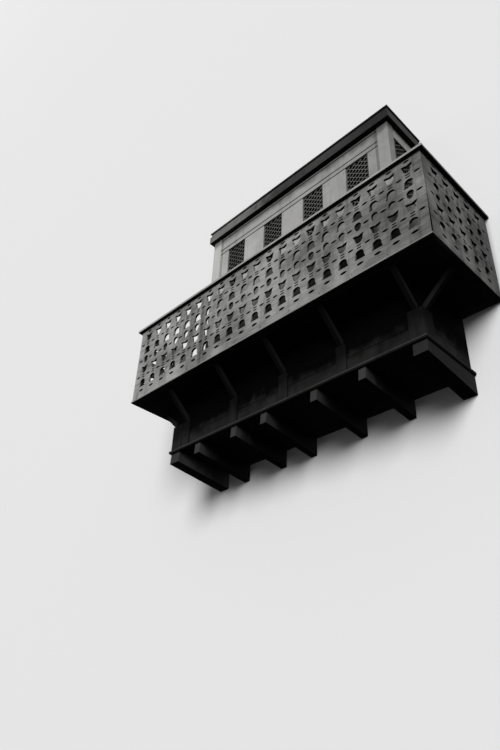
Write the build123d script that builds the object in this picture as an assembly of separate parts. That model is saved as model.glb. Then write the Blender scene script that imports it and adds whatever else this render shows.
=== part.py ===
from build123d import *
import math
import os

# A wooden bay with lattice windows that projects from a wall, with a fretted gallery round it.
# X runs along the wall, +Y goes into it and +Z is up. The origin is on the back face of the wall
# beam, at the middle of its length and height, where the deck meets the wall at y = 0.

# Gallery: the deck and the fretted boards round it
gallery_length = 3950.0
gallery_depth = 1120.0
parapet_height = 1000.0
parapet_thickness = 24.0
deck_beam_height = 100.0
wall_beam_thickness = 90.0
edge_beam_width = 60.0
floor_thickness = 30.0
soffit_thickness = 25.0
handrail_height = 35.0
handrail_overhang = 40.0
handrail_inset = 15.0
handrail_bevel = 8.0
batten_height = 24.0
batten_thickness = 9.0
gallery_post_size = 50.0

# Fretwork: one motif of openings, repeated along every side of the gallery
motif_pitch = 183.0
motif_margin = 15.0
arch_facets = 4
lens_length = 74.0
lens_height = 23.0
foot_lens_length = 84.0
foot_lens_height = 28.0
slot_length = 50.0
slot_height = 13.0
bell_width = 120.0
bell_shoulder = 92.0
bell_height = 102.0
tulip_width = 126.0
tulip_waist = 92.0
tulip_height = 102.0
tulip_dip = 15.0
egg_width = 76.0
egg_tip = 50.0
egg_height = 98.0
# Gaps above the openings of a motif, down from the top of the board
head_margin = 20.0
lens_gap = 30.0
slot_gap = 17.0
bell_gap = 22.0
egg_gap = 38.0
tulip_gap = 46.0
foot_gap = 41.0

# Base: the boarded box under the deck
base_width = 3220.0
base_projection = 755.0
base_height = 630.0
frieze_thickness = 35.0
pilaster_width = 110.0
pilaster_height = 300.0
pilaster_thickness = 22.0
pilaster_gap = 15.0
pilaster_places = (-640.0, 50.0, 755.0)
corner_block_width = 150.0
ledge_height = 28.0
ledge_overhang = 18.0
base_soffit_thickness = 25.0
strut_width = 45.0
strut_depth = 55.0
strut_setback = 60.0

# Corbels: the beam ends that carry the base, spaced as unevenly as the old ones
corbel_width = 76.0
end_corbel_width = 135.0
corbel_setback = 10.0
corbel_nose = 6.0
corbel_front_depth = 118.0
corbel_wall_depth = 190.0
corbel_places = (-1172.0, -620.0, -204.0, 428.0, 968.0)

# Screen: the closed bay with the lattice windows
screen_width = 2780.0
screen_projection = 595.0
screen_height = 2365.0
corner_post_width = 140.0
corner_post_depth = 100.0
wall_post_width = 100.0
wall_post_depth = 60.0
sill_height = 100.0
sill_thickness = 60.0
board_thickness = 30.0
board_recess = 8.0
apron_thickness = 20.0
lintel_height = 290.0
lintel_thickness = 37.0
bead_height = 24.0
bead_projection = 8.0
bead_spacing = 49.0
bed_mould_drop = 45.0
cornice_height = 185.0
cornice_overhang = 50.0
cornice_step_height = 105.0
cornice_step = 14.0
cornice_cap_height = 30.0
cornice_cap = 14.0
top_board_thickness = 30.0

# Lattice windows
window_width = 305.0
window_height = 700.0
window_pitch = 635.0
window_count = 4
side_window_inset = 25.0
side_window_margin = 105.0
side_lintel_height = 160.0
lattice_thickness = 24.0
lattice_border = 20.0
lattice_bar = 26.0
lattice_columns = 2
lattice_rows = 6
side_lattice_rows = 7

# Levels and faces that the pieces share
deck_bottom = -deck_beam_height / 2
floor_bottom = deck_beam_height / 2
floor_top = floor_bottom + floor_thickness
parapet_top = deck_bottom + parapet_height
board_half = gallery_length / 2 - parapet_thickness
board_front = gallery_depth - parapet_thickness
deck_half = board_half - edge_beam_width
deck_front = board_front - edge_beam_width
base_bottom = deck_bottom - base_height
ledge_top = base_bottom + ledge_height
pilaster_top = ledge_top + pilaster_height
frieze_half = base_width / 2 - pilaster_thickness
frieze_front = base_projection - pilaster_thickness
screen_top = floor_top + screen_height
lintel_bottom = screen_top - lintel_height
sill_top = floor_top + sill_height
window_bottom = lintel_bottom - window_height
side_lintel_bottom = screen_top - side_lintel_height
side_window_height = side_lintel_bottom - window_bottom
side_window_start = -screen_projection + corner_post_depth + side_window_inset
side_window_end = -wall_post_depth - side_window_margin
cornice_top = screen_top + cornice_height


def block(x, y, z):
    """A plain timber between two x, two y and two z values."""
    size = (x[1] - x[0], y[1] - y[0], z[1] - z[0])
    middle = ((x[0] + x[1]) / 2, (y[0] + y[1]) / 2, (z[0] + z[1]) / 2)
    return Pos(*middle) * Box(*size)


def mirrored(piece):
    """The same piece at the other end of the bay."""
    return mirror(piece, about=Plane.YZ)


def both_ends(piece):
    return [piece, mirrored(piece)]


def save(name, pieces):
    """Writes one node, of one solid or of several that stand apart."""
    solids = [solid for piece in pieces for solid in piece.solids()]
    shape = solids[0] if len(solids) == 1 else Compound(children=solids)
    export_step(shape, os.path.join("parts", name + ".step"))


def run_round(outline, half_width, projection):
    """Carries a section round the front and the right side of a box on the wall.

    The outline gives (distance out from the box's face, height). The two pieces meet at a mitre.
    """
    reach = 2 * max(out for out, height in outline)
    on_front = [(-half_width - reach, -projection - out, height) for out, height in outline]
    front = extrude(make_face(Polyline(*on_front, close=True)), (half_width + reach) * 2, dir=(1, 0, 0))
    on_side = [(half_width + out, 0, height) for out, height in outline]
    side = extrude(make_face(Polyline(*on_side, close=True)), projection + reach, dir=(0, -1, 0))
    for end in (-1, 1):
        corner = Plane(origin=(end * half_width, -projection, 0), z_dir=(end, 1, 0))
        front = split(front, bisect_by=corner, keep=Keep.BOTTOM)
    side = split(side, bisect_by=corner, keep=Keep.TOP)
    return front, side


def arch(width, rise):
    """Points over a half oval from right to left, without its two ends."""
    turns = [math.pi * step / arch_facets for step in range(1, arch_facets)]
    return [(width / 2 * math.cos(turn), rise * math.sin(turn)) for turn in turns]


def lens(length, height):
    return [(-length / 2, 0), (0, -height / 2), (length / 2, 0), (0, height / 2)]


def slot(length, height):
    x, y = length / 2, height / 2
    return [(-x, -y), (x, -y), (x, y), (-x, y)]


def bell():
    """An opening with an arched head that flares to a flat foot."""
    foot = -bell_height / 2
    shoulder = bell_height * 0.12
    head = [(x, shoulder + y) for x, y in arch(bell_shoulder, bell_height / 2 - shoulder)]
    sides = (bell_shoulder / 2, shoulder)
    return [(-bell_width / 2, foot), (bell_width / 2, foot), sides, *head, (-sides[0], sides[1])]


def tulip():
    """An opening with a dipped head that narrows to a round foot."""
    head = tulip_height / 2
    waist = tulip_height * 0.06
    bowl = [(-x, waist - y) for x, y in arch(tulip_waist, head + waist)]
    return [(-tulip_width / 2, head), (-tulip_waist / 2, waist), *bowl, (tulip_waist / 2, waist),
            (tulip_width / 2, head), (0, head - tulip_dip)]


def egg():
    """An upright opening, broad above and narrower below."""
    x, tip, y = egg_width / 2, egg_tip / 2, egg_height / 2
    return [(-tip / 2, -y), (tip / 2, -y), (tip, -y / 2), (x, y / 3), (x / 2, y), (-x / 2, y), (-x, y / 3),
            (-tip, -y / 2)]


def motif():
    """The openings of one upright row, each as its outline and its middle's drop below the board's top."""
    small_lens = lens(lens_length, lens_height)
    small_slot = slot(slot_length, slot_height)
    foot_lens = lens(foot_lens_length, foot_lens_height)
    stack = [(small_lens, lens_height, head_margin), (tulip(), tulip_height, lens_gap)]
    slots_and_bell = [(small_slot, slot_height, slot_gap)] * 2 + [(bell(), bell_height, bell_gap)]
    stack += slots_and_bell + [(egg(), egg_height, egg_gap), (tulip(), tulip_height, tulip_gap)]
    stack += slots_and_bell + [(foot_lens, foot_lens_height, foot_gap)]
    drop = 0
    row = []
    for outline, height, gap in stack:
        row.append((outline, drop + gap + height / 2))
        drop += gap + height
    return row


def pierced_board(length, height, thickness, openings, plane):
    """A board with openings sawn through it, each given as (outline, across, up)."""
    def ring(points, across, up):
        places = [plane.from_local_coords((across + x, up + y, 0)) for x, y in points]
        return Wire.make_polygon(places, close=True)
    edge = ring([(0, 0), (length, 0), (length, height), (0, height)], 0, 0)
    holes = [ring(*opening) for opening in openings]
    return extrude(Face(edge, holes), thickness, dir=plane.z_dir)


def fretted_board(length, plane):
    """A gallery side: as many whole motifs as fit, with small lenses beside each of them."""
    rows = int((length - 2 * motif_margin - lens_length) // motif_pitch)
    first = (length - (rows - 1) * motif_pitch) / 2
    drops = [drop for outline, drop in motif()]
    small = lens(lens_length, lens_height)
    openings = []
    for row in range(rows):
        across = first + row * motif_pitch
        openings += [(outline, across, parapet_height - drop) for outline, drop in motif()]
    # The small lenses stand level with the slots and with the egg
    levels = [(drops[2] + drops[3]) / 2, drops[5], (drops[7] + drops[8]) / 2]
    for row in range(rows + 1):
        across = first + (row - 0.5) * motif_pitch
        openings += [(small, across, parapet_height - level) for level in levels]
    return pierced_board(length, parapet_height, parapet_thickness, openings, plane)


def make_deck():
    """The wall beam, the edge beams, the boards under and over them."""
    height = (deck_bottom, floor_bottom)
    save("wall_beam", [block((-deck_half, deck_half), (-wall_beam_thickness, 0), height)])
    save("front_edge_beam", [block((-board_half, board_half), (-board_front, -deck_front), height)])
    save("side_edge_beams", both_ends(block((deck_half, board_half), (-deck_front, 0), height)))
    soffit = (deck_bottom, deck_bottom + soffit_thickness)
    save("deck_soffit", [block((-deck_half, deck_half), (-deck_front, -wall_beam_thickness), soffit)])
    save("deck_floor", [block((-board_half, board_half), (-board_front, 0), (floor_bottom, floor_top))])


def make_gallery():
    """The fretted boards, the rails on them, the battens at their feet and the posts behind."""
    corner = (-gallery_length / 2, -board_front, deck_bottom)
    front_plane = Plane(origin=corner, x_dir=(1, 0, 0), z_dir=(0, -1, 0))
    save("front_parapet", [fretted_board(gallery_length, front_plane)])
    side_plane = Plane(origin=(board_half, -board_front, deck_bottom), x_dir=(0, 1, 0), z_dir=(1, 0, 0))
    side = fretted_board(board_front, side_plane)
    save("right_parapet", [side])
    save("left_parapet", [mirrored(side)])

    inside = -parapet_thickness - handrail_inset
    crown = parapet_top + handrail_height
    rail = [(inside, parapet_top), (handrail_overhang, parapet_top),
            (handrail_overhang, crown - handrail_bevel), (handrail_overhang - handrail_bevel, crown),
            (inside + handrail_bevel, crown), (inside, crown - handrail_bevel)]
    front, side = run_round(rail, gallery_length / 2, gallery_depth)
    save("front_handrail", [front])
    save("side_handrails", both_ends(side))

    shoulder = deck_bottom + batten_height
    batten = [(0, deck_bottom), (batten_thickness, deck_bottom),
              (batten_thickness, shoulder - batten_thickness), (0, shoulder)]
    front, side = run_round(batten, gallery_length / 2, gallery_depth)
    save("front_foot_batten", [front])
    save("side_foot_battens", both_ends(side))

    across = (board_half - gallery_post_size, board_half)
    along = (-board_front, -board_front + gallery_post_size)
    save("gallery_posts", both_ends(block(across, along, (floor_top, parapet_top))))


def flat_pilaster_places():
    """The left one stands close to the corner block, the others as unevenly as the old ones."""
    first = base_width / 2 - corner_block_width - pilaster_gap - pilaster_width / 2
    return [-first, *pilaster_places]


def make_pilasters():
    """Flat blocks on the front of the base, with a wider one folded round each corner."""
    height = (ledge_top, pilaster_top)
    faces = (-base_projection, -frieze_front)
    half = pilaster_width / 2
    flat = [block((x - half, x + half), faces, height) for x in flat_pilaster_places()]
    outer = base_width / 2
    on_front = block((outer - corner_block_width, outer), faces, height)
    along = (-frieze_front, -base_projection + corner_block_width)
    on_side = block((frieze_half, outer), along, height)
    return flat + both_ends(on_front + on_side)


def make_base():
    """The boarded box under the deck, with its ledge, its pilasters and its floor."""
    height = (ledge_top, deck_bottom)
    inner_front = frieze_front - frieze_thickness
    save("front_frieze", [block((-frieze_half, frieze_half), (-frieze_front, -inner_front), height)])
    side = block((frieze_half - frieze_thickness, frieze_half), (-inner_front, 0), height)
    save("side_friezes", both_ends(side))
    save("pilasters", make_pilasters())

    inner = -pilaster_thickness - frieze_thickness
    ledge = [(inner, base_bottom), (ledge_overhang * 0.6, base_bottom),
             (ledge_overhang, base_bottom + ledge_height / 2), (ledge_overhang, ledge_top),
             (inner, ledge_top)]
    front, side = run_round(ledge, base_width / 2, base_projection)
    save("front_ledge", [front])
    save("side_ledges", both_ends(side))
    half = base_width / 2 + inner
    floor = (base_bottom, base_bottom + base_soffit_thickness)
    save("base_soffit", [block((-half, half), (-base_projection - inner, 0), floor)])


def corbel(place, width):
    """A beam end that deepens towards the wall, with a raked nose."""
    front = -(base_projection - corbel_setback)
    outline = [(front, base_bottom), (front - corbel_nose, base_bottom - corbel_front_depth),
               (0, base_bottom - corbel_wall_depth), (0, base_bottom)]
    profile = make_face(Polyline(*[(place - width / 2, y, z) for y, z in outline], close=True))
    return extrude(profile, width, dir=(1, 0, 0))


def make_corbels():
    """A wide corbel flush with each end of the base, and narrower ones between."""
    ends = corbel((base_width - end_corbel_width) / 2, end_corbel_width)
    save("corbels", both_ends(ends) + [corbel(place, corbel_width) for place in corbel_places])


def strut_outline(face, block_face, gallery_face):
    """A strut's side: foot on a pilaster, back on the frieze, head under the deck."""
    head = gallery_face - strut_setback
    return [(face, pilaster_top), (block_face, pilaster_top), (head, deck_bottom),
            (head - strut_depth, deck_bottom), (face, pilaster_top + strut_depth)]


def make_struts():
    """Slanting struts from the pilasters out to the deck's edge."""
    corner = base_width / 2 - corner_block_width / 2
    front_struts = []
    outline = strut_outline(frieze_front, base_projection, gallery_depth)
    for place in (*flat_pilaster_places(), corner):
        profile = make_face(Polyline(*[(place - strut_width / 2, -out, z) for out, z in outline], close=True))
        front_struts.append(extrude(profile, strut_width, dir=(1, 0, 0)))
    save("front_struts", front_struts)
    outline = strut_outline(frieze_half, base_width / 2, gallery_length / 2)
    back = -base_projection + corner_block_width / 2 + strut_width / 2
    profile = make_face(Polyline(*[(out, back, z) for out, z in outline], close=True))
    save("side_struts", both_ends(extrude(profile, strut_width, dir=(0, -1, 0))))


def lattice(outer_width, outer_height, rows, plane):
    """A window of crossing bars in a border, sawn as one sheet with diamond openings."""
    width = outer_width - 2 * lattice_border
    height = outer_height - 2 * lattice_border
    step_x = width / lattice_columns
    step_y = height / rows
    # A bar's thickness measured along the window's width and height
    slant = math.hypot(step_x, step_y)
    cut_x = lattice_bar / 2 * slant / step_y
    cut_y = lattice_bar / 2 * slant / step_x
    openings = []
    for column in range(2 * lattice_columns + 1):
        for row in range(2 * rows + 1):
            if (column + row) % 2:
                continue
            x, y = column * step_x / 2, row * step_y / 2
            half_x, half_y = step_x / 2 - cut_x, step_y / 2 - cut_y
            left, right = column > 0, column < 2 * lattice_columns
            low, high = row > 0, row < 2 * rows
            if not (left or right) or not (low or high) or ((left + right) == 1 and (low + high) == 1):
                continue
            corners = [(-half_x, 0, left), (0, -half_y, low), (half_x, 0, right), (0, half_y, high)]
            points = [(px, py) for px, py, inside in corners if inside]
            openings.append((points, lattice_border + x, lattice_border + y))
    return pierced_board(outer_width, outer_height, lattice_thickness, openings, plane)


def window_places():
    return [(number - (window_count - 1) / 2) * window_pitch for number in range(window_count)]


def make_windows():
    """Four lattice windows on the front and a taller one in each side."""
    back = screen_projection - board_recess - board_thickness
    for number, place in enumerate(window_places(), 1):
        origin = (place - window_width / 2, -back, window_bottom)
        plane = Plane(origin=origin, x_dir=(1, 0, 0), z_dir=(0, -1, 0))
        save(f"lattice_{number}", [lattice(window_width, window_height, lattice_rows, plane)])
    origin = (screen_width / 2 - board_recess - board_thickness, side_window_start, window_bottom)
    plane = Plane(origin=origin, x_dir=(0, 1, 0), z_dir=(1, 0, 0))
    side = lattice(side_window_end - side_window_start, side_window_height, side_lattice_rows, plane)
    save("right_lattice", [side])
    save("left_lattice", [mirrored(side)])


def make_screen():
    """The posts, the sills, the plain boards between the windows and those under them."""
    half = screen_width / 2
    post_height = (floor_top, screen_top)
    across = (half - corner_post_width, half)
    along = (-screen_projection, -screen_projection + corner_post_depth)
    save("corner_posts", both_ends(block(across, along, post_height)))
    save("wall_posts", both_ends(block((half - wall_post_width, half), (-wall_post_depth, 0), post_height)))

    board_face = screen_projection - board_recess
    board_back = board_face - board_thickness
    side_face = half - board_recess
    side_back = side_face - board_thickness
    side_run = (-screen_projection + corner_post_depth, -wall_post_depth)
    span = half - corner_post_width
    front_sill = block((-span, span), (-board_face, -board_face + sill_thickness), (floor_top, sill_top))
    side_sill = block((side_face - sill_thickness, side_face), side_run, (floor_top, sill_top))
    save("sills", [front_sill, *both_ends(side_sill)])

    edges = [-span]
    for place in window_places():
        edges += [place - window_width / 2, place + window_width / 2]
    edges.append(span)
    faces = (-board_face, -board_back)
    boards = [block(pair, faces, (sill_top, lintel_bottom)) for pair in zip(edges[::2], edges[1::2])]
    save("front_boards", boards)
    apron_faces = (-board_back - apron_thickness, -board_back)
    aprons = [block(pair, apron_faces, (sill_top, window_bottom)) for pair in zip(edges[1::2], edges[2::2])]
    save("front_aprons", aprons)

    gap = (side_window_start, side_window_end)
    near = block((side_back, side_face), (side_run[0], gap[0]), (sill_top, side_lintel_bottom))
    far = block((side_back, side_face), (gap[1], side_run[1]), (sill_top, side_lintel_bottom))
    save("side_boards", both_ends(near) + both_ends(far))
    apron = block((side_back, side_back + apron_thickness), gap, (sill_top, window_bottom))
    save("side_aprons", both_ends(apron))


def lintel_outline(face):
    """The front lintel's section, with two beads over the windows and a small mould under the cornice."""
    crest = face + bead_projection
    back = face - lintel_thickness
    outline = [(back, screen_top), (back, lintel_bottom)]
    for foot in (lintel_bottom, lintel_bottom + bead_height + bead_spacing, screen_top - bed_mould_drop):
        outline += [(face, foot), (crest, foot), (crest, foot + bead_height), (face, foot + bead_height)]
    outline.append((face, screen_top))
    return outline


def make_head():
    """The front lintel, the plain side ones, the stepped cornice and the boards that close the top."""
    span = screen_width / 2 - corner_post_width
    section = [(-span, -out, z) for out, z in lintel_outline(screen_projection - board_recess)]
    save("front_lintel", [extrude(make_face(Polyline(*section, close=True)), 2 * span, dir=(1, 0, 0))])
    side_face = screen_width / 2 - board_recess
    side_run = (-screen_projection + corner_post_depth, -wall_post_depth)
    side_lintel = block((side_face - lintel_thickness, side_face), side_run, (side_lintel_bottom, screen_top))
    save("side_lintels", both_ends(side_lintel))

    step = screen_top + cornice_step_height
    cap = cornice_top - cornice_cap_height
    face = cornice_overhang - cornice_step
    cornice = [(-lintel_thickness, screen_top), (cornice_overhang, screen_top), (cornice_overhang, step),
               (face, step), (face, cap), (face + cornice_cap, cap + cornice_cap_height / 2),
               (face + cornice_cap, cornice_top), (-lintel_thickness, cornice_top)]
    front, side = run_round(cornice, screen_width / 2, screen_projection)
    save("front_cornice", [front])
    save("side_cornices", both_ends(side))
    half = screen_width / 2 - lintel_thickness
    depth = (-screen_projection + lintel_thickness, 0)
    save("top_boards", [block((-half, half), depth, (cornice_top - top_board_thickness, cornice_top))])


os.makedirs("parts", exist_ok=True)
make_deck()
make_gallery()
make_base()
make_corbels()
make_struts()
make_windows()
make_screen()
make_head()
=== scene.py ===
import bpy
import math
from mathutils import Matrix, Vector


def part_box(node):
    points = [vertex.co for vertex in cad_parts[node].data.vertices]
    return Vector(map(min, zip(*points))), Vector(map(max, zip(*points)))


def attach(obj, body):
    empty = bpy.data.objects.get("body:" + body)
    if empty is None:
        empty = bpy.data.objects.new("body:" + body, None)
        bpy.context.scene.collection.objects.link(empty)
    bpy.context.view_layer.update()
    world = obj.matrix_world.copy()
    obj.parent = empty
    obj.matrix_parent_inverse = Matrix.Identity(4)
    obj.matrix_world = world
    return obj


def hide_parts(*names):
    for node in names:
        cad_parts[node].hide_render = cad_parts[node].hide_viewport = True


# Looks for a wooden bay with lattice windows and a fretted gallery.
# Metres. +X runs along the wall, +Y into it, +Z up.
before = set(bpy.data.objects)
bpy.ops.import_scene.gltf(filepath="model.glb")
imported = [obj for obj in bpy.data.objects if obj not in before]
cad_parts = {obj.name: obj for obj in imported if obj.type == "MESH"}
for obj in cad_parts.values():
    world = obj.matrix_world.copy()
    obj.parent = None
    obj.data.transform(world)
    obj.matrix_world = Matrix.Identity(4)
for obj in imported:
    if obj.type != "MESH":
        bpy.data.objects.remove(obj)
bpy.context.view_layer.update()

# Fretwork: the openings of one upright motif and the gaps above them. A share is of an opening's height.
motif_pitch = 0.183
motif_margin = 0.015
lens_size = (0.074, 0.023)
foot_lens_size = (0.084, 0.028)
lens_steps = 6
slot_size = (0.050, 0.013)
slot_corner_share = 0.3
bell_size = (0.120, 0.102)
bell_shoulder = 0.092
bell_shoulder_share = 0.10
bell_flare = 0.004
tulip_size = (0.126, 0.102)
tulip_waist = 0.092
tulip_waist_share = 0.06
tulip_dip = 0.015
tulip_sag = 0.003
arch_steps = 9
egg_size = (0.076, 0.098)
egg_fullness = 0.16
egg_steps = 16
head_margin = 0.020
lens_gap = 0.030
slot_gap = 0.017
bell_gap = 0.022
egg_gap = 0.038
tulip_gap = 0.046
foot_gap = 0.041
sawn_edge = 0.001

# Points of one mesh that lie nearer than this are merged
weld_distance = 0.00005

# Lattice windows: two layers of slats that cross in a border
lattice_border = 0.008
lattice_arris = 0.002
lattice_pitch = 0.080
lattice_rise = 0.065
lattice_thickness = 0.024
slat_width = 0.012
slat_thickness = 0.006
slat_rounding = 0.0015
slat_setback = 0.005
slat_spare = 0.1

# Nails: their heads, whose rim and crown are shares of radius and height, and where their rows lie
nail_sides = 8
nail_radius = 0.006
nail_height = 0.003
nail_rim = 0.35
nail_crown = 0.4
rail_nail_drop = 0.014
foot_nail_rise = 0.045
side_nail_start = 0.09
side_nail_count = 6
screen_nail_inset = 0.03
screen_nail_levels = (0.24, 1.30, 2.10)
frieze_nail_start = 0.12
frieze_nail_pitch = 0.37
frieze_nail_count = 9
frieze_nail_levels = (-0.44, -0.56)


# Modelling

def only(piece):
    """Leaves one piece selected and active."""
    bpy.ops.object.select_all(action="DESELECT")
    piece.select_set(True)
    bpy.context.view_layer.objects.active = piece


def settle(piece):
    """Puts a piece's place and turn into its mesh."""
    only(piece)
    bpy.ops.object.transform_apply(location=True, rotation=True, scale=True)


def press(piece, modifier):
    """Applies one modifier of a piece."""
    only(piece)
    bpy.ops.object.modifier_apply(modifier=modifier.name)


def pick_faces(piece, wanted):
    """Selects the faces that pass a test, ready for edit mode."""
    for part in (piece.data.vertices, piece.data.edges, piece.data.polygons):
        part.foreach_set("select", [False] * len(part))
    for face in piece.data.polygons:
        face.select = wanted(face)


def close_up(piece):
    """Merges doubled points and turns all faces outwards."""
    only(piece)
    bpy.ops.object.mode_set(mode="EDIT")
    bpy.ops.mesh.select_all(action="SELECT")
    bpy.ops.mesh.remove_doubles(threshold=weld_distance)
    bpy.ops.mesh.normals_make_consistent(inside=False)
    bpy.ops.object.mode_set(mode="OBJECT")


def join(pieces, name):
    bpy.ops.object.select_all(action="DESELECT")
    for piece in pieces:
        piece.select_set(True)
    bpy.context.view_layer.objects.active = pieces[0]
    bpy.ops.object.join()
    pieces[0].name = name
    return pieces[0]


def twin(piece, name):
    """A copy with its own mesh."""
    only(piece)
    bpy.ops.object.duplicate()
    copy = bpy.context.active_object
    copy.name = name
    return copy


def repeat(piece, count, step):
    row = piece.modifiers.new("row", "ARRAY")
    row.count = count
    row.use_relative_offset = False
    row.use_constant_offset = True
    row.constant_offset_displace = step
    press(piece, row)


def fit(piece, material, nodes=()):
    """Gives a finished piece its finish, its body and the nodes it stands for."""
    piece.data.materials.clear()
    piece.data.materials.append(material)
    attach(piece, "root")
    if nodes:
        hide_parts(*nodes)


# Outlines of the fretwork's openings, round their own middles

def bow(start, end, rise, steps):
    """Points from start to just before end along a shallow arc that bulges by rise to the left."""
    run = Vector(end) - Vector(start)
    left = Vector((-run.y, run.x)).normalized()
    points = []
    for step in range(steps):
        share = step / steps
        points.append(Vector(start) + run * share + left * (rise * 4 * share * (1 - share)))
    return points


def lens(size):
    x, y = size[0] / 2, size[1] / 2
    return bow((-x, 0), (x, 0), -y, lens_steps) + bow((x, 0), (-x, 0), -y, lens_steps)


def slot(size):
    """An oblong with its corners cut."""
    x, y, cut = size[0] / 2, size[1] / 2, size[1] * slot_corner_share
    foot = [(-x + cut, -y), (x - cut, -y), (x, -y + cut), (x, y - cut)]
    return [Vector(p) for p in foot + [(-across, -up) for across, up in foot]]


def half_round(middle, width, height, start):
    """Points of half an ellipse round its level middle, from the angle start to just before its opposite."""
    points = []
    for step in range(arch_steps):
        turn = start + math.pi * step / arch_steps
        points.append(Vector((width * math.cos(turn), middle + height * math.sin(turn))))
    return points


def bell():
    """An arched head that flares to a flat foot."""
    x, y, neck = bell_size[0] / 2, bell_size[1] / 2, bell_shoulder / 2
    shoulder = bell_size[1] * bell_shoulder_share
    outline = bow((-x, -y), (x, -y), 0, 1) + bow((x, -y), (neck, shoulder), bell_flare, 4)
    outline += half_round(shoulder, neck, y - shoulder, 0)
    return outline + bow((-neck, shoulder), (-x, -y), bell_flare, 4)


def tulip():
    """A dipped head that narrows to a round foot."""
    x, y, waist = tulip_size[0] / 2, tulip_size[1] / 2, tulip_waist / 2
    level = tulip_size[1] * tulip_waist_share
    outline = bow((x, y), (0, y - tulip_dip), -tulip_sag, 3) + bow((0, y - tulip_dip), (-x, y), -tulip_sag, 3)
    outline += bow((-x, y), (-waist, level), tulip_sag, 3)
    outline += half_round(level, waist, y + level, math.pi)
    return outline + bow((waist, level), (x, y), tulip_sag, 3)


def egg():
    """Upright, broad above and narrower below."""
    outline = []
    for step in range(egg_steps):
        turn = 2 * math.pi * step / egg_steps
        width = egg_size[0] / 2 * (1 + egg_fullness * math.sin(turn))
        outline.append(Vector((width * math.cos(turn), egg_size[1] / 2 * math.sin(turn))))
    return outline


def motif():
    """The openings of one upright row, each with its drop below the board's top."""
    slots_and_bell = [(slot(slot_size), slot_size[1], slot_gap)] * 2 + [(bell(), bell_size[1], bell_gap)]
    stack = [(lens(lens_size), lens_size[1], head_margin)]
    stack += [(tulip(), tulip_size[1], lens_gap)] + slots_and_bell
    stack += [(egg(), egg_size[1], egg_gap), (tulip(), tulip_size[1], tulip_gap)] + slots_and_bell
    stack.append((lens(foot_lens_size), foot_lens_size[1], foot_gap))
    drop = 0
    row = []
    for outline, height, gap in stack:
        row.append((outline, drop + gap + height / 2))
        drop += gap + height
    return row


def motif_places(length):
    """How many motifs a board of this length takes, and how far along the first one stands."""
    count = int((length - 2 * motif_margin - lens_size[0]) // motif_pitch)
    return count, (length - (count - 1) * motif_pitch) / 2


def add_opening(board, outline, across, up):
    ring = board.splines.new("POLY")
    ring.points.add(len(outline) - 1)
    ring.points.foreach_set("co", [value for p in outline for value in (across + p.x, up + p.y, 0, 1)])
    ring.use_cyclic_u = True


def fretted_board(name, length, height, thickness):
    """A board lying along X and standing on Z, its outer face at y = 0, sawn through with the motif."""
    board = bpy.data.curves.new(name, "CURVE")
    board.dimensions = "2D"
    board.fill_mode = "BOTH"
    board.extrude = thickness / 2 - sawn_edge
    board.bevel_depth = sawn_edge
    board.bevel_resolution = 0
    board.offset = -sawn_edge
    edge = [Vector(p) for p in ((0, 0), (length, 0), (length, height), (0, height))]
    add_opening(board, edge, 0, 0)
    count, first = motif_places(length)
    openings = motif()
    drops = [drop for outline, drop in openings]
    for number in range(count):
        for outline, drop in openings:
            add_opening(board, outline, first + number * motif_pitch, height - drop)
    upper_slots, lower_slots = (drops[2] + drops[3]) / 2, (drops[7] + drops[8]) / 2
    for number in range(count + 1):
        for drop in (upper_slots, drops[5], lower_slots):
            add_opening(board, lens(lens_size), first + (number - 0.5) * motif_pitch, height - drop)
    piece = bpy.data.objects.new(name, board)
    bpy.context.collection.objects.link(piece)
    only(piece)
    bpy.ops.object.convert(target="MESH")
    piece.matrix_world = Matrix.Translation((0, thickness / 2, 0)) @ Matrix.Rotation(math.pi / 2, 4, "X")
    settle(piece)
    close_up(piece)
    return piece


def stand(piece, place, turn=0):
    """Sets a piece made at the origin down at its place, turned about the upright axis."""
    piece.matrix_world = Matrix.Translation(place) @ Matrix.Rotation(turn, 4, "Z")
    settle(piece)


def make_fretwork(front_finish, side_finish):
    low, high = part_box("front_parapet")
    front = fretted_board("front_fretwork", high.x - low.x, high.z - low.z, high.y - low.y)
    stand(front, low)
    fit(front, front_finish, ["front_parapet"])
    low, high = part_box("right_parapet")
    right = fretted_board("right_fretwork", high.y - low.y, high.z - low.z, high.x - low.x)
    left = twin(right, "left_fretwork")
    stand(right, (high.x, low.y, low.z), math.pi / 2)
    fit(right, side_finish, ["right_parapet"])
    low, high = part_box("left_parapet")
    stand(left, (low.x, high.y, low.z), -math.pi / 2)
    fit(left, side_finish, ["left_parapet"])


# Lattice windows

def lattice_border_frame(width, height):
    """A mitred border, from a plane that is inset, opened and given its thickness."""
    middle = (width / 2, lattice_thickness, height / 2)
    bpy.ops.mesh.primitive_plane_add(size=1, location=middle, rotation=(math.pi / 2, 0, 0))
    border = bpy.context.active_object
    border.scale = (width, height, 1)
    settle(border)
    bpy.ops.object.mode_set(mode="EDIT")
    bpy.ops.mesh.select_all(action="SELECT")
    bpy.ops.mesh.inset(thickness=lattice_border, use_boundary=True)
    bpy.ops.mesh.delete(type="FACE")
    bpy.ops.object.mode_set(mode="OBJECT")
    depth = border.modifiers.new("depth", "SOLIDIFY")
    depth.thickness = lattice_thickness
    depth.offset = 1
    press(border, depth)
    arris = border.modifiers.new("arris", "BEVEL")
    arris.width = lattice_arris
    arris.segments = 1
    press(border, arris)
    close_up(border)
    return border


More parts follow.
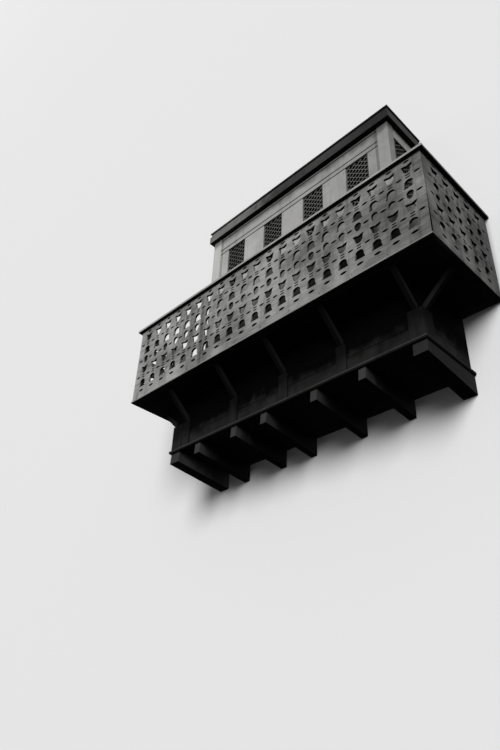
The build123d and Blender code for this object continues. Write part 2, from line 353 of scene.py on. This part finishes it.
def slat_layer(width, height, front, turn):
    """A row of slanting slats, trimmed to the border's opening."""
    slope = math.atan2(lattice_rise, lattice_pitch)
    count = int(width / lattice_pitch + height / lattice_rise) + 2
    bpy.ops.mesh.primitive_cube_add(size=1, location=(0, 0, 0))
    slats = bpy.context.active_object
    slats.scale = (height / math.sin(slope) + slat_spare, slat_thickness, slat_width)
    settle(slats)
    rounding = slats.modifiers.new("rounding", "BEVEL")
    rounding.width = slat_rounding
    rounding.segments = 1
    press(slats, rounding)
    slats.rotation_euler = (0, -turn * slope, 0)
    start = width / 2 - (count - 1) * lattice_pitch / 2
    slats.location = (start, front + slat_thickness / 2, height / 2)
    settle(slats)
    repeat(slats, count, (lattice_pitch, 0, 0))
    bpy.ops.object.mode_set(mode="EDIT")
    inner = lattice_border / 2
    trims = (((inner, 0, 0), (-1, 0, 0)), ((width - inner, 0, 0), (1, 0, 0)),
             ((0, 0, inner), (0, 0, -1)), ((0, 0, height - inner), (0, 0, 1)))
    for point, normal in trims:
        bpy.ops.mesh.select_all(action="SELECT")
        bpy.ops.mesh.bisect(plane_co=point, plane_no=normal, clear_outer=True, use_fill=True)
    bpy.ops.object.mode_set(mode="OBJECT")
    close_up(slats)
    return slats


def window_lattice(node, width, name):
    """One window at the origin, as wide as given and as high as the node it stands for."""
    low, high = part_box(node)
    height = high.z - low.z
    border = lattice_border_frame(width, height)
    over = slat_layer(width, height, slat_setback, 1)
    under = slat_layer(width, height, slat_setback + slat_thickness, -1)
    return join([border, over, under], name)


def make_lattices(finish):
    low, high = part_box("lattice_1")
    pattern = window_lattice("lattice_1", high.x - low.x, "window_lattice_1")
    copies = [pattern] + [twin(pattern, f"window_lattice_{number}") for number in (2, 3, 4)]
    for number, window in enumerate(copies, 1):
        stand(window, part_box(f"lattice_{number}")[0])
        fit(window, finish, [f"lattice_{number}"])
    low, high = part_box("right_lattice")
    right = window_lattice("right_lattice", high.y - low.y, "side_lattice_right")
    left = twin(right, "side_lattice_left")
    stand(right, (high.x, low.y, low.z), math.pi / 2)
    fit(right, finish, ["right_lattice"])
    low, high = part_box("left_lattice")
    stand(left, (low.x, high.y, low.z), -math.pi / 2)
    fit(left, finish, ["left_lattice"])


# Nails

def nail(place, turn):
    """A flat-headed nail with a chamfered rim, its head standing out along the turned -Y."""
    bpy.ops.mesh.primitive_cylinder_add(vertices=nail_sides, radius=nail_radius, depth=nail_height,
                                        rotation=(math.pi / 2, 0, 0))
    head = bpy.context.active_object
    settle(head)
    pick_faces(head, lambda face: face.normal.y < -0.9)
    bpy.ops.object.mode_set(mode="EDIT")
    bpy.ops.mesh.inset(thickness=nail_radius * nail_rim)
    bpy.ops.transform.translate(value=(0, -nail_height * nail_crown, 0))
    bpy.ops.object.mode_set(mode="OBJECT")
    head.matrix_world = Matrix.Translation(place) @ Matrix.Rotation(turn, 4, "Z")
    settle(head)
    return head


def nail_row(place, turn, count, step):
    head = nail(place, turn)
    if count > 1:
        repeat(head, count, step)
    return head


def gallery_nails(finish):
    """Along the rail and the foot of the fretted boards, between the motifs."""
    low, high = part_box("front_parapet")
    levels = (high.z - rail_nail_drop, low.z + foot_nail_rise)
    motifs, first = motif_places(high.x - low.x)
    start = low.x + first + motif_pitch / 2
    rows = [nail_row((start, low.y, z), 0, motifs // 2, (2 * motif_pitch, 0, 0)) for z in levels]
    low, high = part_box("right_parapet")
    start = low.y + side_nail_start
    for z in levels:
        for side in (1, -1):
            place = (side * high.x, start, z)
            rows.append(nail_row(place, side * math.pi / 2, side_nail_count, (0, motif_pitch, 0)))
    fit(join(rows, "gallery_nails"), finish)


def screen_nails(finish):
    """At both edges of each upright board on the screen's front."""
    low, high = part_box("front_boards")
    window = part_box("lattice_1")
    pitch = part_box("lattice_2")[0].x - window[0].x
    rows = []
    for z in screen_nail_levels:
        for x, count in ((low.x + screen_nail_inset, 1), (window[1].x + screen_nail_inset, 4),
                         (window[0].x - screen_nail_inset, 4), (high.x - screen_nail_inset, 1)):
            rows.append(nail_row((x, low.y, z), 0, count, (pitch, 0, 0)))
    fit(join(rows, "screen_nails"), finish)


def frieze_nails(finish):
    low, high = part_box("front_frieze")
    start = low.x + frieze_nail_start
    step = (frieze_nail_pitch, 0, 0)
    rows = [nail_row((start, low.y, z), 0, frieze_nail_count, step) for z in frieze_nail_levels]
    fit(join(rows, "frieze_nails"), finish)


# Shared effects: node groups that give only colours, masks, values and normals

def effect(name, inputs, outputs):
    tree = bpy.data.node_groups.new(name, "ShaderNodeTree")
    for label, kind, value in inputs:
        socket = tree.interface.new_socket(name=label, in_out="INPUT", socket_type=kind)
        socket.default_value = value
    for label, kind in outputs:
        tree.interface.new_socket(name=label, in_out="OUTPUT", socket_type=kind)
    return tree, tree.nodes.new("NodeGroupInput").outputs, tree.nodes.new("NodeGroupOutput").inputs


def add_node(tree, kind, values=(), **settings):
    """A node with its settings, and its inputs linked or set by number or name."""
    node = tree.nodes.new(kind)
    for key, value in settings.items():
        setattr(node, key, value)
    for key, value in dict(values).items():
        if isinstance(value, bpy.types.NodeSocket):
            tree.links.new(value, node.inputs[key])
        else:
            node.inputs[key].default_value = value
    return node


def sums(tree, operation, a, b=0.0, c=0.0):
    return add_node(tree, "ShaderNodeMath", {0: a, 1: b, 2: c}, operation=operation).outputs[0]


def vector_sums(tree, operation, *vectors):
    return add_node(tree, "ShaderNodeVectorMath", dict(enumerate(vectors)), operation=operation).outputs[0]


def scaled(tree, colour, shade):
    """A colour made lighter or darker by a value."""
    return add_node(tree, "ShaderNodeVectorMath", {0: colour, "Scale": shade}, operation="SCALE").outputs[0]


def weighed(tree, a, weight_a, b, weight_b):
    """Two values added up by their weights."""
    return sums(tree, "ADD", sums(tree, "MULTIPLY", a, weight_a), sums(tree, "MULTIPLY", b, weight_b))


def darkened(tree, shade, mask, strength):
    """Takes strength off a shade where the mask lies. A strength below 0 makes it paler."""
    kept = sums(tree, "SUBTRACT", 1.0, sums(tree, "MULTIPLY", mask, strength))
    return sums(tree, "MULTIPLY", shade, kept)


def ramp(tree, value, low, high, bottom=0.0, top=1.0):
    """Turns low to high into bottom to top, smoothly, and holds outside."""
    values = {"Value": value, "From Min": low, "From Max": high, "To Min": bottom, "To Max": top}
    return add_node(tree, "ShaderNodeMapRange", values, interpolation_type="SMOOTHSTEP").outputs[0]


def noise(tree, point, scale, detail, roughness=0.5, distortion=0.0):
    values = {"Vector": point, "Scale": scale, "Detail": detail}
    values.update({"Roughness": roughness, "Distortion": distortion})
    return add_node(tree, "ShaderNodeTexNoise", values).outputs[0]


def make_grain():
    """Long fibres: Stretch is large across the grain and small along it."""
    inputs = [("Point", "NodeSocketVector", (0, 0, 0)), ("Stretch", "NodeSocketVector", (8, 8, 1))]
    outputs = [("Grain", "NodeSocketFloat"), ("Relief", "NodeSocketFloat"), ("Weather", "NodeSocketFloat")]
    tree, given, out = effect("old_wood_grain", inputs, outputs)
    drawn = vector_sums(tree, "MULTIPLY", given[0], given[1])
    bands = noise(tree, drawn, scale=2.2, detail=5.0, roughness=0.6, distortion=0.8)
    fibres = noise(tree, drawn, scale=17.0, detail=3.0, roughness=0.7)
    patches = noise(tree, given[0], scale=2.1, detail=4.0, roughness=0.55)
    tree.links.new(ramp(tree, weighed(tree, bands, 0.6, fibres, 0.4), low=0.32, high=0.68), out[0])
    tree.links.new(weighed(tree, fibres, 0.6, bands, 0.4), out[1])
    tree.links.new(ramp(tree, patches, low=0.35, high=0.65), out[2])
    return tree


def make_stains():
    """Rain streaks that run down, broken up by large patches."""
    inputs = [("Point", "NodeSocketVector", (0, 0, 0))]
    tree, given, out = effect("rain_and_soot", inputs, [("Stain", "NodeSocketFloat")])
    drawn = vector_sums(tree, "MULTIPLY", given[0], (11.0, 11.0, 0.9))
    streaks = ramp(tree, noise(tree, drawn, scale=1.0, detail=4.0, roughness=0.6), low=0.42, high=0.72)
    patches = ramp(tree, noise(tree, given[0], scale=1.4, detail=5.0, roughness=0.6), low=0.36, high=0.66)
    tree.links.new(sums(tree, "MULTIPLY", streaks, patches), out[0])
    return tree


def make_joints():
    """Joints between boards of one width, and a tone for each board."""
    inputs = [("Position", "NodeSocketFloat", 0.0), ("Board", "NodeSocketFloat", 0.2),
              ("Gap", "NodeSocketFloat", 0.003)]
    outputs = [("Joint", "NodeSocketFloat"), ("Tone", "NodeSocketFloat")]
    tree, given, out = effect("board_joints", inputs, outputs)
    share = sums(tree, "DIVIDE", given[0], given[1])
    part = sums(tree, "FRACT", share)
    nearest = sums(tree, "MINIMUM", part, sums(tree, "SUBTRACT", 1.0, part))
    away = sums(tree, "MULTIPLY", nearest, given[1])
    half_gap = sums(tree, "MULTIPLY", given[2], 0.5)
    tree.links.new(ramp(tree, away, low=half_gap, high=given[2], bottom=1.0, top=0.0), out[0])
    number = sums(tree, "FLOOR", share)
    tone = add_node(tree, "ShaderNodeTexWhiteNoise", {"W": number}, noise_dimensions="1D").outputs[0]
    tree.links.new(tone, out[1])
    return tree


def make_arris():
    """Rounds the edges to the eye and finds where hands and weather have rubbed them."""
    outputs = [("Worn", "NodeSocketFloat"), ("Normal", "NodeSocketVector")]
    tree, given, out = effect("worn_arris", [("Radius", "NodeSocketFloat", 0.004)], outputs)
    rounded = add_node(tree, "ShaderNodeBevel", {"Radius": given[0]}, samples=4).outputs[0]
    flat = add_node(tree, "ShaderNodeNewGeometry").outputs["True Normal"]
    both = {0: rounded, 1: flat}
    lean = add_node(tree, "ShaderNodeVectorMath", both, operation="DOT_PRODUCT").outputs["Value"]
    tree.links.new(ramp(tree, lean, low=0.80, high=0.99, bottom=1.0, top=0.0), out[0])
    tree.links.new(rounded, out[1])
    return tree


def make_smudge():
    """A soft-edged box of dirt, shade or paint: Reach is half its size."""
    inputs = [("Point", "NodeSocketVector", (0, 0, 0)), ("Centre", "NodeSocketVector", (0, 0, 0)),
              ("Reach", "NodeSocketVector", (1, 1, 1)), ("Softness", "NodeSocketFloat", 0.05)]
    tree, given, out = effect("smudge", inputs, [("Mask", "NodeSocketFloat")])
    away = vector_sums(tree, "ABSOLUTE", vector_sums(tree, "SUBTRACT", given[0], given[1]))
    away = vector_sums(tree, "SUBTRACT", away, given[2])
    parts = add_node(tree, "ShaderNodeSeparateXYZ", {0: away}).outputs
    outside = sums(tree, "MAXIMUM", sums(tree, "MAXIMUM", parts[0], parts[1]), parts[2])
    ragged = sums(tree, "SUBTRACT", noise(tree, given[0], scale=9.0, detail=3.0), 0.5)
    edge = sums(tree, "ADD", outside, sums(tree, "MULTIPLY", ragged, given[3]))
    tree.links.new(ramp(tree, edge, low=0.0, high=given[3], bottom=1.0, top=0.0), out[0])
    return tree


effects = {"grain": make_grain(), "stains": make_stains(), "joints": make_joints(),
           "arris": make_arris(), "smudge": make_smudge()}


def use_effect(tree, name, *values):
    """A shared effect with its inputs in their order, and what it gives."""
    return add_node(tree, "ShaderNodeGroup", dict(enumerate(values)), node_tree=effects[name]).outputs


def grey(value, warmth=0.02):
    return (value, value * (1 - warmth * 0.3), value * (1 - warmth), 1)


# What all finishes share
fibre_share = 0.45
board_tones = (0.84, 1.12)
roughness_range = (0.95, 0.75)
down_facing = (-0.55, -0.2)
sawn_facing = (0.3, 0.8)
joint_gap = 0.005
joint_strength = 0.8
joint_depth = 2.0
arris_radius = 0.004
rubbed_strength = -0.35
relief_depth = 0.003


def weathered(name, pale, dark, stretch, boards=None, stain=0.5, underside_shade=0.5, smudges=(), relief=0.5,
              sawn=None, gloss=0.12):
    """One finish of old wood: grain between two tones, stains, joints, rubbed edges and painted shade on
    undersides.

    boards is (axis number, board width, where a joint lies). Each smudge is (centre, reach, softness,
    strength). sawn is (axis number the board faces, tone of the faces sawn square to it).
    """
    material = bpy.data.materials.new(name)
    material.use_nodes = True
    tree = material.node_tree
    surface = tree.nodes["Principled BSDF"]
    point = add_node(tree, "ShaderNodeTexCoord").outputs["Object"]
    fibres, height, weather = use_effect(tree, "grain", point, stretch)
    share = weighed(tree, fibres, fibre_share, weather, 1 - fibre_share)
    factor, first_colour, second_colour = 0, 6, 7
    tones = {factor: share, first_colour: grey(dark), second_colour: grey(pale)}
    colour = add_node(tree, "ShaderNodeMix", tones, data_type="RGBA", clamp_factor=True).outputs[2]
    if boards:
        axis, width, start = boards
        along = add_node(tree, "ShaderNodeSeparateXYZ", {0: point}).outputs[axis]
        place = sums(tree, "SUBTRACT", along, start)
        joint, board_tone = use_effect(tree, "joints", place, width, joint_gap)
        shade = darkened(tree, ramp(tree, board_tone, 0.0, 1.0, *board_tones), joint, joint_strength)
        colour = scaled(tree, colour, shade)
        height = sums(tree, "SUBTRACT", height, sums(tree, "MULTIPLY", joint, joint_depth))
    shade = darkened(tree, 1.0, use_effect(tree, "stains", point)[0], stain)
    normal = add_node(tree, "ShaderNodeNewGeometry").outputs["Normal"]
    facing = add_node(tree, "ShaderNodeSeparateXYZ", {0: normal}).outputs
    # Painted shade: faces that point down are darkened towards the underside tone
    shade = sums(tree, "MULTIPLY", shade, ramp(tree, facing[2], *down_facing, underside_shade, 1.0))
    if sawn:
        axis, sawn_tone = sawn
        square = sums(tree, "ABSOLUTE", facing[axis])
        shade = sums(tree, "MULTIPLY", shade, ramp(tree, square, *sawn_facing, sawn_tone, 1.0))
    for centre, reach, softness, strength in smudges:
        dirt = use_effect(tree, "smudge", point, centre, reach, softness)[0]
        shade = darkened(tree, shade, dirt, strength)
    worn, rounded = use_effect(tree, "arris", arris_radius)
    shade = darkened(tree, shade, sums(tree, "MULTIPLY", worn, weather), rubbed_strength)
    tree.links.new(scaled(tree, colour, shade), surface.inputs["Base Color"])
    tree.links.new(ramp(tree, fibres, 0.0, 1.0, *roughness_range), surface.inputs["Roughness"])
    surface.inputs["Specular IOR Level"].default_value = gloss
    bumps = {"Height": height, "Normal": rounded, "Strength": relief, "Distance": relief_depth}
    bump = add_node(tree, "ShaderNodeBump", bumps)
    tree.links.new(bump.outputs[0], surface.inputs["Normal"])
    return material


def paint(material, *nodes):
    for name in nodes:
        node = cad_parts[name]
        node.data.materials.clear()
        node.data.materials.append(material)


# The finishes, from the pale screen down to the dark base with its painted shade

# How far the grain is squeezed along each axis
upright = (14.0, 14.0, 1.2)
along_x = (1.2, 14.0, 14.0)
along_y = (14.0, 1.2, 14.0)
aslant = (12, 3, 3)
even_grain = (30, 30, 30)

# Boards drawn by the material: axis number, board width, where a joint lies
top_boards = (1, 0.186, 0.0)
soffit_boards = (1, 0.14, 0.0)
floor_boards = (1, 0.137, 0.0)
frieze_boards = (2, 0.19, -0.50)

# Dirt, painted shade and places made paler or darker: centre, reach to each side, softness and strength
# (below 0 it is paler)
# The screen is paler towards its left end and darker towards its right end
paler_left = ((-1.9, -0.8, 1.2), (0.3, 1.0, 3.0), 1.9, -0.22)
darker_right = ((1.9, -0.8, 1.2), (0.2, 1.0, 3.0), 1.7, 0.28)
# Under the cornice the screen darkens towards the top: soot and painted shade
head_soot_and_shade = ((0, -0.70, 2.46), (1.6, 0.15, 0.05), 0.12, 0.62)
screen_dirt_and_shade = [paler_left, darker_right, head_soot_and_shade]
# Painted shade in the gaps beside the two corner posts
post_gap_shade = [((side * 1.232, -0.59, 1.2), (0.016, 0.2, 1.3), 0.008, 0.35) for side in (-1, 1)]
# Low on the screen, behind the gallery: dirt and painted shade of the walkway
walkway_dirt_and_shade = [((0, -0.5, 0.30), (1.6, 0.6, 0.85), 0.45, 0.60),
                ((0, -0.5, 0.20), (1.6, 0.6, 0.50), 0.43, 0.85),
                ((1.1, -0.5, 0.30), (0.45, 0.6, 0.50), 0.40, 0.93)]
# A darker patch over the last apron
last_apron_dark_patch = ((0.95, -0.5, 0.9), (0.2, 0.2, 0.6), 0.05, 0.75)
upright_seam = ((-0.818, -1.1, 0.3), (0.020, 0.2, 0.40), 0.014, 0.30)
fret_seams = [upright_seam] + [((0, -1.1, z), (3, 0.2, 0.001), 0.006, 0.35) for z in (0.655, 0.18)]
side_seams = [((0, -0.5, z), (3, 2, 0.001), 0.006, 0.35) for z in (0.655, 0.18)]
wall_shade = ((0, 0.10, 0.4), (3, 0.25, 1.0), 0.40, 0.35)
# Painted shadow of the deck on the frieze and the pilasters, darkest next to the deck
painted_deck_shadow = ((0, -0.4, -0.12), (2.0, 0.8, 0.27), 0.25, 0.97)
# Painted shade on the corbels, darkening them towards the wall
painted_corbel_shade = ((0, -0.10, -0.9), (1.25, 0.40, 0.4), 0.26, 0.96)
# The corbel at the right end is darker
darker_end_corbel = ((1.8, -0.4, -0.8), (0.38, 0.9, 0.4), 0.03, 0.45)
# The cornice's front is paler at its left end and darker at its right end
pale_end = ((-1.6, -0.64, 2.6), (0.65, 0.3, 0.3), 0.75, -3.1)
darker_cornice_end = ((1.6, -0.64, 2.6), (0.35, 0.3, 0.3), 0.55, 0.45)

# The side finishes of fretwork, rail, foot batten and ledge are darker than their fronts: painted shade.
# Those of cornice and frieze are paler: painted light
screen_boards = weathered("silvered_screen_boards", 0.39, 0.31, upright, stain=0.22,
                          smudges=screen_dirt_and_shade + post_gap_shade + walkway_dirt_and_shade)
screen_aprons = weathered("dark_window_aprons", 0.13, 0.08, upright, stain=0.4,
                          smudges=walkway_dirt_and_shade + [last_apron_dark_patch])
screen_posts = weathered("silvered_posts", 0.43, 0.34, upright, stain=0.2, smudges=screen_dirt_and_shade + walkway_dirt_and_shade)
screen_head = weathered("silvered_lintel_front", 0.36, 0.28, along_x, stain=0.25, underside_shade=0.3,
                        smudges=screen_dirt_and_shade + post_gap_shade)
screen_head_side = weathered("silvered_lintel_side", 0.40, 0.32, along_y, stain=0.25, underside_shade=0.3)
fret_front = weathered("fretted_front_boards", 0.39, 0.105, along_x, stain=0.6, underside_shade=0.015,
                       smudges=fret_seams + [darker_right], sawn=(1, 0.7))
fret_side_painted_shade = weathered("fretted_side_boards", 0.29, 0.06, along_y, stain=0.4, underside_shade=0.03,
                      smudges=side_seams + [wall_shade], sawn=(0, 0.6))
rail_front = weathered("rail_front", 0.36, 0.28, along_x, stain=0.2, underside_shade=0.02)
rail_side_painted_shade = weathered("rail_side_painted_shade", 0.16, 0.10, along_y, stain=0.3, underside_shade=0.02)
rail_posts = weathered("gallery_post_wood", 0.14, 0.09, upright, underside_shade=0.3)
batten_front = weathered("foot_batten_front", 0.26, 0.20, along_x, underside_shade=0.04)
batten_side_painted_shade = weathered("foot_batten_side", 0.16, 0.10, along_y, underside_shade=0.04)
lattice_wood = weathered("lattice_slats", 0.17, 0.10, upright, stain=0.3, underside_shade=0.08, relief=0.3)
cornice_front = weathered("cornice_front", 0.052, 0.032, along_x, stain=0.3, underside_shade=0.10,
                          smudges=[pale_end, darker_cornice_end])
cornice_side_painted_light = weathered("cornice_side_painted_light", 0.086, 0.054, along_y, stain=0.3, underside_shade=0.10)
# The top boards are dark: painted shade inside the bay, seen through the lattices
top_wood_painted_shade = weathered("top_boards", 0.05, 0.03, along_x, boards=top_boards, underside_shade=0.2)
frieze_front = weathered("sooty_frieze_front", 0.027, 0.017, along_x, boards=frieze_boards, underside_shade=0.3,
                         smudges=[painted_deck_shadow], gloss=0.03)
frieze_side_painted_light = weathered("sooty_frieze_side", 0.042, 0.024, along_y, boards=frieze_boards, underside_shade=0.3,
                        smudges=[painted_deck_shadow], gloss=0.03)
# The soffits are near black: painted shade under the deck and the base
soffit_painted_shade = weathered("soffits_painted_shade", 0.004, 0.0025, along_x, boards=soffit_boards, underside_shade=0.6)
floor_wood = weathered("trodden_floor", 0.12, 0.07, along_x, boards=floor_boards, underside_shade=0.1)
beam_wood = weathered("hidden_beams", 0.03, 0.02, along_x, underside_shade=0.3)
block_wood = weathered("pilaster_blocks", 0.016, 0.009, upright, underside_shade=0.3, smudges=[painted_deck_shadow])
ledge_front = weathered("ledge_front", 0.042, 0.027, along_x, underside_shade=0.05)
ledge_side_painted_shade = weathered("ledge_side_painted_shade", 0.030, 0.018, along_y, underside_shade=0.05)
corbel_wood = weathered("corbel_timber", 0.045, 0.028, along_y, stain=0.4, underside_shade=0.08,
                        smudges=[painted_corbel_shade, darker_end_corbel])
# The struts are near black: painted shade of the gallery above them
strut_painted_shade = weathered("strut_timber", 0.012, 0.007, aslant, underside_shade=0.08)
pale_iron = weathered("rusted_nails_pale", 0.20, 0.10, even_grain, relief=0.2)
dark_iron = weathered("rusted_nails_dark", 0.08, 0.04, even_grain, relief=0.2)
sooty_iron = weathered("sooty_nails", 0.014, 0.008, even_grain, relief=0.2, gloss=0.05)

paint(screen_boards, "front_boards", "side_boards", "side_aprons", "sills")
paint(screen_aprons, "front_aprons")
paint(screen_posts, "corner_posts", "wall_posts")
paint(screen_head, "front_lintel")
paint(screen_head_side, "side_lintels")
paint(rail_front, "front_handrail")
paint(rail_side_painted_shade, "side_handrails")
paint(rail_posts, "gallery_posts")
paint(batten_front, "front_foot_batten")
paint(batten_side_painted_shade, "side_foot_battens")
paint(cornice_front, "front_cornice")
paint(cornice_side_painted_light, "side_cornices")
paint(top_wood_painted_shade, "top_boards")
paint(frieze_front, "front_frieze")
paint(frieze_side_painted_light, "side_friezes")
paint(soffit_painted_shade, "base_soffit", "deck_soffit")
paint(floor_wood, "deck_floor")
paint(beam_wood, "wall_beam", "front_edge_beam", "side_edge_beams")
paint(block_wood, "pilasters")
paint(ledge_front, "front_ledge")
paint(ledge_side_painted_shade, "side_ledges")
paint(corbel_wood, "corbels")
paint(strut_painted_shade, "front_struts", "side_struts")

make_fretwork(fret_front, fret_side_painted_shade)
make_lattices(lattice_wood)
gallery_nails(dark_iron)
screen_nails(pale_iron)
frieze_nails(sooty_iron)


# The studio: a pale wall, a dark room of painted shade behind the bay, a pale floor, one soft lamp and an
# even sky

plaster_tone = 0.80
paving_tone = 0.72
paving_bounce = 0.12
room_shade_tone = 0.012
stage_reach = 90.0
street_level = -5.4
wall_face = 0.004
room_left = -1.335
room_right = 1.335
room_foot = 0.03
room_head = 2.60

# The shaded walkway: its slanting upper edge is the rail's line on the wall, as the camera sees it
walkway_slope = 2.882
walkway_height = 6.841
walkway_strength = 0.80

# Where the walkway's shade fades in or out: along X, up Z, and below its slanting edge
walkway_left = (1.20, 1.33)
walkway_right = (1.92, 2.03)
walkway_foot = (-0.10, 0.03)
walkway_head = (2.10, 2.45)
walkway_rail = (-0.18, -0.03)

lamp_strength = 2.9
lamp_spread = math.radians(30)
lamp_place = (4, -8, 5)
lamp_side = (0.42, -0.85, 0.32)
sky_light = 0.32
sky_seen = 0.78

# The camera stands in the street, below and to the right of the bay, and looks up at it
camera_place = (3.704, -4.630, -3.835)
camera_lens = 31.55
camera_reach = 300
camera_right = (0.70408, 0.70895, 0.04069)
camera_ahead = (-0.61032, 0.57484, 0.54504)


def mixed(tree, share, first, second):
    return add_node(tree, "ShaderNodeMixShader", {0: share, 1: first, 2: second}).outputs[0]


def stage_surface(name, seen, bounced=None, shade=None):
    """A plain stage finish that shows only from its front.

    Other rays than the camera's meet the bounced tone, or pass if there is none.
    """
    material = bpy.data.materials.new(name)
    material.use_nodes = True
    tree = material.node_tree
    tree.nodes.clear()
    output = tree.nodes.new("ShaderNodeOutputMaterial")
    from_camera = add_node(tree, "ShaderNodeLightPath").outputs["Is Camera Ray"]
    behind = add_node(tree, "ShaderNodeNewGeometry").outputs["Backfacing"]
    shown = add_node(tree, "ShaderNodeBsdfDiffuse", {"Color": grey(seen, 0)})
    if shade:
        tree.links.new(scaled(tree, (seen, seen, seen), shade(tree)), shown.inputs[0])
    clear = add_node(tree, "ShaderNodeBsdfTransparent").outputs[0]
    other = clear
    if bounced:
        other = add_node(tree, "ShaderNodeBsdfDiffuse", {"Color": grey(bounced, 0)}).outputs[0]
    face = mixed(tree, from_camera, other, shown.outputs[0])
    hidden = sums(tree, "MULTIPLY", from_camera, behind)
    tree.links.new(mixed(tree, hidden, face, clear), output.inputs[0])
    return material


def walkway_shade(tree):
    """Darkens the wall where it shows only through the openings of the gallery's right end."""
    point = add_node(tree, "ShaderNodeTexCoord").outputs["Object"]
    x, y, z = add_node(tree, "ShaderNodeSeparateXYZ", {0: point}).outputs
    over_rail = sums(tree, "MULTIPLY_ADD", x, walkway_slope, sums(tree, "SUBTRACT", z, walkway_height))
    shade = sums(tree, "MULTIPLY", ramp(tree, x, *walkway_left), ramp(tree, z, *walkway_foot))
    for value, fade in ((x, walkway_right), (z, walkway_head), (over_rail, walkway_rail)):
        shade = sums(tree, "MULTIPLY", shade, ramp(tree, value, *fade, bottom=1.0, top=0.0))
    return darkened(tree, 1.0, shade, walkway_strength)


def stage_sheet(name, corners, material):
    mesh = bpy.data.meshes.new(name)
    mesh.from_pydata(corners, [], [tuple(range(len(corners)))])
    sheet = bpy.data.objects.new(name, mesh)
    bpy.context.collection.objects.link(sheet)
    mesh.materials.append(material)


def wall_sheet(name, left, right, foot, head, material):
    """An upright sheet in the wall's plane."""
    corners = [(left, wall_face, foot), (right, wall_face, foot),
               (right, wall_face, head), (left, wall_face, head)]
    stage_sheet(name, corners, material)


def make_stage():
    plaster = stage_surface("pale_plaster", plaster_tone, shade=walkway_shade)
    paving = stage_surface("pale_paving", paving_tone, bounced=paving_bounce)
    # The room's sheets are painted shade: only the camera sees them, and light passes through them
    room = stage_surface("dark_room_painted_shade", room_shade_tone)
    wall_sheet("wall_left", -stage_reach, room_left, street_level, stage_reach, plaster)
    wall_sheet("wall_right", room_right, stage_reach, street_level, stage_reach, plaster)
    wall_sheet("wall_below", room_left, room_right, street_level, room_foot, plaster)
    wall_sheet("wall_above", room_left, room_right, room_head, stage_reach, plaster)
    wall_sheet("room_behind", room_left, room_right, room_foot, room_head, room)
    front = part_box("front_boards")[0].y
    for name, x, near, far in (("room_left", room_left, front, 0), ("room_right", room_right, 0, front)):
        corners = [(x, near, room_foot), (x, far, room_foot), (x, far, room_head), (x, near, room_head)]
        stage_sheet(name, corners, room)
    corners = [(-stage_reach, -stage_reach, street_level), (stage_reach, -stage_reach, street_level),
               (stage_reach, stage_reach, street_level), (-stage_reach, stage_reach, street_level)]
    stage_sheet("street_floor", corners, paving)


def make_light():
    bpy.ops.object.light_add(type="SUN", location=lamp_place)
    lamp = bpy.context.active_object
    lamp.data.energy = lamp_strength
    lamp.data.angle = lamp_spread
    lamp.rotation_euler = Vector(lamp_side).to_track_quat("Z", "Y").to_euler()
    world = bpy.data.worlds.new("even_sky")
    bpy.context.scene.world = world
    world.use_nodes = True
    tree = world.node_tree
    tree.nodes.clear()
    from_camera = add_node(tree, "ShaderNodeLightPath").outputs["Is Camera Ray"]
    sky = add_node(tree, "ShaderNodeBackground", {0: grey(sky_light, 0), 1: 1.0}).outputs[0]
    seen_sky = add_node(tree, "ShaderNodeBackground", {0: grey(sky_seen, 0), 1: 1.0}).outputs[0]
    output = tree.nodes.new("ShaderNodeOutputWorld")
    tree.links.new(mixed(tree, from_camera, sky, seen_sky), output.inputs[0])


def make_camera():
    bpy.ops.object.camera_add(location=camera_place)
    camera = bpy.context.active_object
    camera.data.lens = camera_lens
    camera.data.clip_end = camera_reach
    right = Vector(camera_right).normalized()
    ahead = Vector(camera_ahead).normalized()
    above = right.cross(ahead).normalized()
    right = ahead.cross(above).normalized()
    camera.rotation_euler = Matrix((right, above, -ahead)).transposed().to_euler()
    bpy.context.scene.camera = camera


make_stage()
make_light()
make_camera()
bpy.context.scene.view_settings.view_transform = "Standard"
